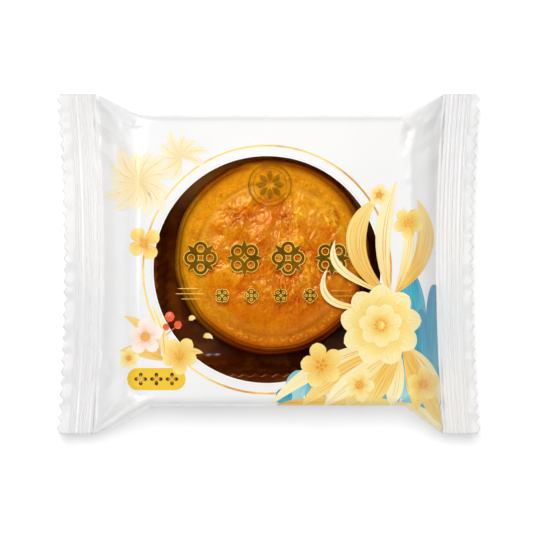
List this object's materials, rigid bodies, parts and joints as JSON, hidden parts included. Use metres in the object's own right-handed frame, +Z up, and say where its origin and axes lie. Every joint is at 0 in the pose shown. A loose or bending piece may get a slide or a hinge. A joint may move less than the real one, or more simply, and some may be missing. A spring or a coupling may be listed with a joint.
{
  "type": "packaged mooncake",
  "caption": "Round baked mooncake in a moulded brown tray, sealed in a white flow-wrap sachet with ribbed, zigzag-cut end seals and a round clear window.",
  "frame": {"origin": "middle of the sachet's length and width, on the surface that it lies on", "axes": "+Z up out of the windowed side, +X along the sachet from one end seal to the other, +Y across it"},
  "size_m": [0.1148, 0.092, 0.0218],
  "materials": {
    "printed_film": "glossy white printed film, lightly creased",
    "clear_film": "clear glossy film",
    "tray_plastic": "thin dark brown thermoformed plastic, glossy",
    "baked_crust": "egg-washed golden brown baked crust, softly shiny"
  },
  "bodies": {
    "root": {"wrapper": "printed_film", "window": "clear_film", "tray": "tray_plastic", "mooncake": "baked_crust"}
  },
  "joints": []
}
